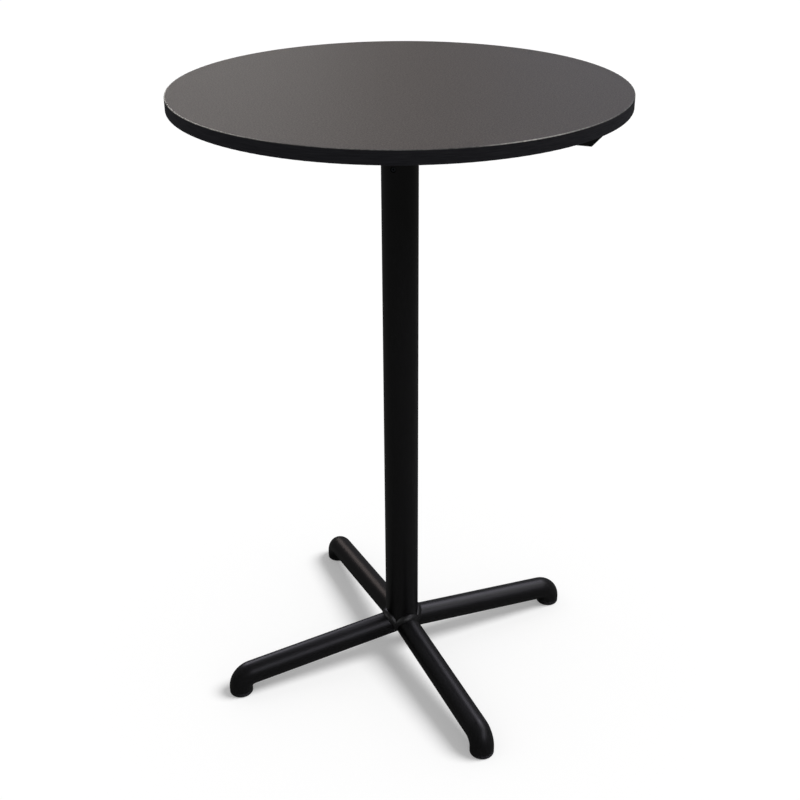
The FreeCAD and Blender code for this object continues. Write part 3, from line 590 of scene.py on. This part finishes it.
# %% Finishes by slot
FINISHES = {
    "laminate": laminate,
    "edge_band": edge_band,
    "particle_board": chip_board,
    "backing_sheet": kraft_sheet,
    "powder_coat": powder_coat,
    "black_steel": black_oxide,
    "zinc_steel": zinc_plate,
    "insert_plastic": insert_plastic,
    "glide_nylon": glide_nylon,
}
for subpart in frame["record"]["subparts"]:
    mesh = nodes[subpart["node"]].data
    mesh.materials.clear()
    mesh.materials.append(FINISHES[subpart["material_slot"]])
print(f"{len(FINISHES)} finishes on {len(nodes)} solids")

# %% [markdown]
# ## Pieces with more detail than their solids
# A piece that replaces a solid is drawn in the table's own frame, rides on the same body, takes the same
# slot and stands in the same lamps' light. One function does all of that, so a piece is only its mesh.


# %% Dress a solid
def dress(bm, name, node, smooth_angle=35.0):
    """Turns a bmesh into the piece that stands for a CAD node."""
    bmesh.ops.recalc_face_normals(bm, faces=bm.faces)
    sharp = math.radians(smooth_angle)
    for edge in bm.edges:
        edge.smooth = len(edge.link_faces) == 2 and edge.calc_face_angle() < sharp
    for face in bm.faces:
        face.smooth = True
    mesh = bpy.data.meshes.new(name)
    bm.to_mesh(mesh)
    bm.free()
    mesh.materials.append(nodes[node].data.materials[0])
    piece = bpy.data.objects.new(name, mesh)
    bpy.context.scene.collection.objects.link(piece)
    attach(piece, nodes[node]["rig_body"])
    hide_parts(node)
    for collection in nodes[node].users_collection:
        if collection.name.startswith(("lit_by_", "shade_in_")):
            collection.objects.link(piece)
    print(f"{name} stands for {node}: {len(mesh.polygons)} faces")


def add_skin(bm, rings):
    """Closed skin over rings of points, each joined to the next, with a face on the first and the last."""
    rows = [[bm.verts.new(point) for point in ring] for ring in rings]
    for row, following in zip(rows, rows[1:]):
        count = len(row)
        for k in range(count):
            bm.faces.new((row[k], row[(k + 1) % count], following[(k + 1) % count], following[k]))
    bm.faces.new(rows[0])
    bm.faces.new(rows[-1])


print("a dressed piece takes body, slot, finish and lamps from its solid")

# %% [markdown]
# ### Rippled weld beads
# Four beads join the column to the legs. A welder lays each bead as a row of small puddles that freeze into
# crescents, and lets it run thin towards the crotch between two legs, where the torch hardly reaches. A
# displaced tube could stand for that, but a bead is really a fillet with its back in the corner of two
# tubes. So the corner line is worked out first, the saddle where the two cylinders meet, and each cross
# section is a slice of pie between the two tube walls, with a crust that swells at every crescent.

# %% Corner of column and leg
COLUMN_RADIUS = (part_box("column_tube")[1].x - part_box("column_tube")[0].x) / 2
foot_low, foot_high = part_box("foot_insert_front_right")
LEG_RADIUS = (foot_high.x - foot_low.x) / 2    # the insert's flange is as wide as the tube
LEG_SLOPE = math.radians(4.745)
LEG_AXIS = 60.39 * MM     # height where the four leg axes cross
LEG_WAYS = {"front_right": -45, "rear_right": 45, "rear_left": 135, "front_left": 225}


def saddle(turn):
    """Corner of column and leg at an angle round the leg, with the outward normals of both tubes."""
    y = LEG_RADIUS * math.sin(turn)
    x = math.sqrt(COLUMN_RADIUS ** 2 - y ** 2)
    rise = LEG_RADIUS * math.cos(turn)
    along = (x - rise * math.sin(LEG_SLOPE)) / math.cos(LEG_SLOPE)
    point = Vector((x, y, LEG_AXIS - along * math.sin(LEG_SLOPE) + rise * math.cos(LEG_SLOPE)))
    column_out = Vector((x, y, 0)).normalized()
    upward = math.cos(turn)
    leg_out = Vector((upward * math.sin(LEG_SLOPE), math.sin(turn), upward * math.cos(LEG_SLOPE)))
    return point, column_out, leg_out


print(f"column radius {COLUMN_RADIUS / MM:.2f} mm, leg radius {LEG_RADIUS / MM:.2f} mm")

# %% Section of a bead
BEAD_LEG = 8.0 * MM
BEAD_TURN = math.radians(97)   # from the top of a leg to each end of its bead
BEAD_TAPER = 0.45         # share of the size that is lost towards each end
BEAD_SWELL = 0.07         # share that a crescent stands proud
BEAD_FLATNESS = 0.16      # share that the crust dips in its middle
BEAD_BACK = 0.2           # share of the size that the bead's back lies inside the metal
BEAD_ACROSS = 9           # points from one tube wall to the other
CRESCENT = 2.6 * MM       # length of one puddle along the bead
CRESCENT_BOW = 0.5        # share of a puddle that a crescent's ends lag behind its middle
PUDDLE_LEVEL = 0.5        # height of a puddle at which it is neither proud nor hollow
WALL_BITE = 0.10          # radians that the crust dips below each tube's surface


def bead_section(turn, travelled):
    """Corner and crust of the bead at one step along it."""
    point, column_out, leg_out = saddle(turn)
    line = column_out.cross(leg_out).normalized()
    up_column = column_out.cross(line)
    up_column *= math.copysign(1, up_column.dot(leg_out))
    down_leg = leg_out.cross(line)
    down_leg *= math.copysign(1, down_leg.dot(column_out))
    opening = up_column.angle(down_leg)
    side = (down_leg - up_column * up_column.dot(down_leg)).normalized()
    size = BEAD_LEG * (1 - BEAD_TAPER * (turn / BEAD_TURN) ** 2)
    crust = []
    for k in range(BEAD_ACROSS):
        share = k / (BEAD_ACROSS - 1)
        angle = -WALL_BITE + share * (opening + 2 * WALL_BITE)
        phase = travelled / CRESCENT + CRESCENT_BOW * (2 * share - 1) ** 2
        puddle = math.sqrt(abs(math.sin(math.pi * phase)))
        middle = math.sin(math.pi * share)
        swell = 1 + BEAD_SWELL * (puddle - PUDDLE_LEVEL) * middle
        reach = size * (1 - BEAD_FLATNESS * middle) * swell
        crust.append(point + (up_column * math.cos(angle) + side * math.sin(angle)) * reach)
    return [point - (column_out + leg_out) * BEAD_BACK * size] + crust


print(f"a bead's legs are {BEAD_LEG / MM:.1f} mm, {BEAD_LEG * (1 - BEAD_TAPER) / MM:.1f} mm at its ends")

# %% Weld beads
BEAD_STEPS = 150

beads = bmesh.new()
for way in LEG_WAYS.values():
    spin = Matrix.Rotation(math.radians(way), 4, "Z")
    travelled = 0.0
    previous = saddle(-BEAD_TURN)[0]
    sections = []
    for step in range(BEAD_STEPS + 1):
        angle = BEAD_TURN * (2 * step / BEAD_STEPS - 1)
        travelled += (saddle(angle)[0] - previous).length
        previous = saddle(angle)[0]
        sections.append([spin @ corner for corner in bead_section(angle, travelled)])
    add_skin(beads, sections)
print(f"each bead is {travelled / MM:.0f} mm long")
dress(beads, "leg_weld_beads", "leg_welds", smooth_angle=60)

# %% [markdown]
# ### Rings for turned pieces
# Screws and stems are turned, so each is a pile of rings with the same number of points. A ring's radius
# may change round its turn, and that gives every shape that isn't plain: a hexagon, the cross of a
# driver's recess, and a thread, whose ridge stands a little further round on each ring. A Screw modifier
# could sweep a thread too, but its open ends would still have to be closed by hand.

# %% Rings
RING_SIDES = 36           # a multiple of six and of four, for hexagons and crosses


def ring(at, radius, height):
    """Level ring of points; its radius is a length, or a function of the share of a turn."""
    points = []
    for k in range(RING_SIDES):
        share = k / RING_SIDES
        angle = math.tau * share
        reach = radius(share) if callable(radius) else radius
        points.append(at + Vector((reach * math.cos(angle), reach * math.sin(angle), height)))
    return points


def hexagon(flats, limit):
    """Radius of a hexagon whose corners are turned off at a limit."""
    return lambda share: min(limit, flats / 2 / math.cos((share * 6 % 1 - 0.5) * math.pi / 3))


def cross(reach, half_width):
    """Radius of a cross with four arms."""
    def radius(share):
        angle = math.tau * share
        narrow = min(abs(math.sin(angle)), abs(math.cos(angle)))
        return reach if narrow * reach <= half_width else half_width / narrow
    return radius


def thread(height, pitch, root, crest):
    """Radius of a V thread at a height."""
    return lambda share: root + (crest - root) * (1 - abs(2 * ((height / pitch - share) % 1) - 1))


print(f"rings have {RING_SIDES} points")

# %% [markdown]
# ### Wood screws
# The spider and the hook are held by pan head screws for chipboard, with a cross recess. Seen from below
# only the heads show, but a bench shows the rest: a coarse thread that runs out into a point.

# %% Shape of a wood screw
HEAD_RADIUS = 4.8 * MM
HEAD_HEIGHT = 3.2 * MM
SHANK_RADIUS = 2.4 * MM
SHANK_ROOT = 0.68         # share of the radius left between the ridges
WOOD_PITCH = 2.2 * MM
POINT_LENGTH = 4.8 * MM
STEPS_PER_PITCH = 8
THREAD_START = 2          # steps above the seat where the thread begins
# rings of the recess, from its floor to its rim: reach, half width, share of the head's height
RECESS = ((1.0 * MM, 0.34 * MM, 0.45), (2.4 * MM, 0.62 * MM, 0.97))
# rings of the head, from the recess to the seat: shares of its radius and of its height
HEAD_OUTLINE = ((0.56, 0.98), (0.72, 0.88), (0.86, 0.70), (0.96, 0.53), (1.0, 0.40), (1.0, 0.0))


def add_wood_screw(bm, seat, length):
    """Screw that points up from its seat."""
    rings = [ring(seat, cross(reach, half), -HEAD_HEIGHT * level) for reach, half, level in RECESS]
    rings += [ring(seat, HEAD_RADIUS * wide, -HEAD_HEIGHT * level) for wide, level in HEAD_OUTLINE]
    rings.append(ring(seat, SHANK_RADIUS * SHANK_ROOT, 0))
    step = WOOD_PITCH / STEPS_PER_PITCH
    for k in range(THREAD_START, int(length / step)):
        height = k * step
        crest = SHANK_RADIUS * min(1, (length - height) / POINT_LENGTH)
        rings.append(ring(seat, thread(height, WOOD_PITCH, crest * SHANK_ROOT, crest), height))
    add_skin(bm, rings)


print(f"wood screws climb {WOOD_PITCH / MM:.1f} mm in a turn")

# %% Wood screws
INNER_SCREWS = 105 * MM   # radius of the circle of the spider's inner screws

spider_low, spider_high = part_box("spider_screws")
spider_screws = bmesh.new()
for radius in (INNER_SCREWS, spider_high.x - HEAD_RADIUS):
    for quarter in range(4):
        first = Vector((radius, 0, spider_low.z + HEAD_HEIGHT))
        seat = Matrix.Rotation(quarter * math.pi / 2, 3, "Z") @ first
        add_wood_screw(spider_screws, seat, spider_high.z - seat.z)
dress(spider_screws, "spider_wood_screws", "spider_screws")

hook_low, hook_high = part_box("hook_screws")
hook_screws = bmesh.new()
for x in (hook_low.x + HEAD_RADIUS, hook_high.x - HEAD_RADIUS):
    seat = Vector((x, 0, hook_low.z + HEAD_HEIGHT))
    add_wood_screw(hook_screws, seat, hook_high.z - seat.z)
dress(hook_screws, "hook_wood_screws", "hook_screws")

# %% [markdown]
# ### Threaded glide stems
# Each foot stands on an M8 stem. Its collar turns in the pad, a spanner takes the hexagon, and the thread
# climbs in the nut. With the foot screwed right in all this is hidden. It shows when a glide is let down.

# %% Shape of a glide stem
STEM_RADIUS = 4.0 * MM
STEM_ROOT = 3.4 * MM
STEM_PITCH = 1.25 * MM
STEM_CHAMFER = 1.0 * MM
COLLAR_RADIUS = 5.5 * MM
COLLAR_HEIGHT = 1.5 * MM
EDGE = 0.3 * MM           # chamfer of the collar, and of the thread's foot
HEX_FLATS = 13.0 * MM
HEX_TURNED = 7.0 * MM     # radius to which the hexagon's ends are turned
HEX_BEVEL = 0.5 * MM
HEX_FOOT = 5.8 * MM       # heights above the floor of the hexagon's two ends
HEX_TOP = 9.8 * MM


def stem_outline(bottom, top):
    """Radius and height of each ring of a stem, from its collar to its end."""
    collar_top = bottom + COLLAR_HEIGHT
    full_hexagon = hexagon(HEX_FLATS, HEX_FLATS)
    turned_hexagon = hexagon(HEX_FLATS, HEX_TURNED)
    outline = [
        (COLLAR_RADIUS - EDGE, bottom), (COLLAR_RADIUS, bottom + EDGE),
        (COLLAR_RADIUS, collar_top - EDGE), (COLLAR_RADIUS - EDGE, collar_top),
        (STEM_RADIUS, collar_top), (STEM_RADIUS, HEX_FOOT),
        (turned_hexagon, HEX_FOOT), (full_hexagon, HEX_FOOT + HEX_BEVEL),
        (full_hexagon, HEX_TOP - HEX_BEVEL), (turned_hexagon, HEX_TOP),
        (STEM_RADIUS, HEX_TOP), (STEM_ROOT, HEX_TOP + EDGE),
    ]
    step = STEM_PITCH / STEPS_PER_PITCH
    thread_foot = HEX_TOP + STEM_PITCH / 2
    for k in range(int((top - thread_foot) / step)):
        height = thread_foot + k * step
        crest = min(STEM_RADIUS, STEM_RADIUS - STEM_CHAMFER + top - height)
        outline.append((thread(height, STEM_PITCH, min(STEM_ROOT, crest), crest), height))
    outline.append((STEM_RADIUS - STEM_CHAMFER, top))
    return outline


print(f"glide stems climb {STEM_PITCH / MM:.2f} mm in a turn")

# %% Glide stems
for name in LEG_WAYS:
    low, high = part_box(f"glide_stem_{name}")
    foot = Vector(((low.x + high.x) / 2, (low.y + high.y) / 2, 0))
    stem = bmesh.new()
    add_skin(stem, [ring(foot, radius, height) for radius, height in stem_outline(low.z, high.z)])
    dress(stem, f"threaded_stem_{name}", f"glide_stem_{name}")

# %% [markdown]
# ### Seams of the legs
# A leg is one bent tube, and its mesh is a sheet that closes along the tube's upper line. The points are
# double there, so a streak of light would break along that line. The faces are right, so they stay, and a
# Weld modifier joins the points.

# %% Leg seams
WELD_REACH = 0.002 * MM

for name in LEG_WAYS:
    joined = nodes[f"leg_{name}"].modifiers.new("joined", "WELD")
    joined.merge_threshold = WELD_REACH
print(f"points within {WELD_REACH / MM:.3f} mm joined on {len(LEG_WAYS)} legs")

# %% [markdown]
# ### Edges of the pressed plates
# Spider and hook are cut and pressed from plate, then tumbled before they are coated, so no edge is sharp,
# and coated edges catch a line of light. Their solids are right, so they stay: a Weld modifier joins
# their faces, and a Bevel modifier rounds what is sharper than a bend.

# %% Plate edges
PLATE_EDGE = 0.5 * MM
EDGE_SEGMENTS = 2
BEND_ANGLE = math.radians(50)

for name in ("spider", "bag_hook"):
    joined = nodes[name].modifiers.new("joined", "WELD")
    joined.merge_threshold = WELD_REACH
    rounded = nodes[name].modifiers.new("rounded", "BEVEL")
    rounded.width = PLATE_EDGE
    rounded.segments = EDGE_SEGMENTS
    rounded.limit_method = "ANGLE"
    rounded.angle_limit = BEND_ANGLE
print(f"plate edges rounded by {PLATE_EDGE / MM} mm")

# %% [markdown]
# ## Last lines
# Both boxes are printed, that of the solids and that of the visual model. The visual model has to stay
# inside the box of the solids.

# %% Sizes
low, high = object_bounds()
print("CAD box", [round(c, 4) for c in cad_high - cad_low], "visual box", [round(c, 4) for c in high - low])
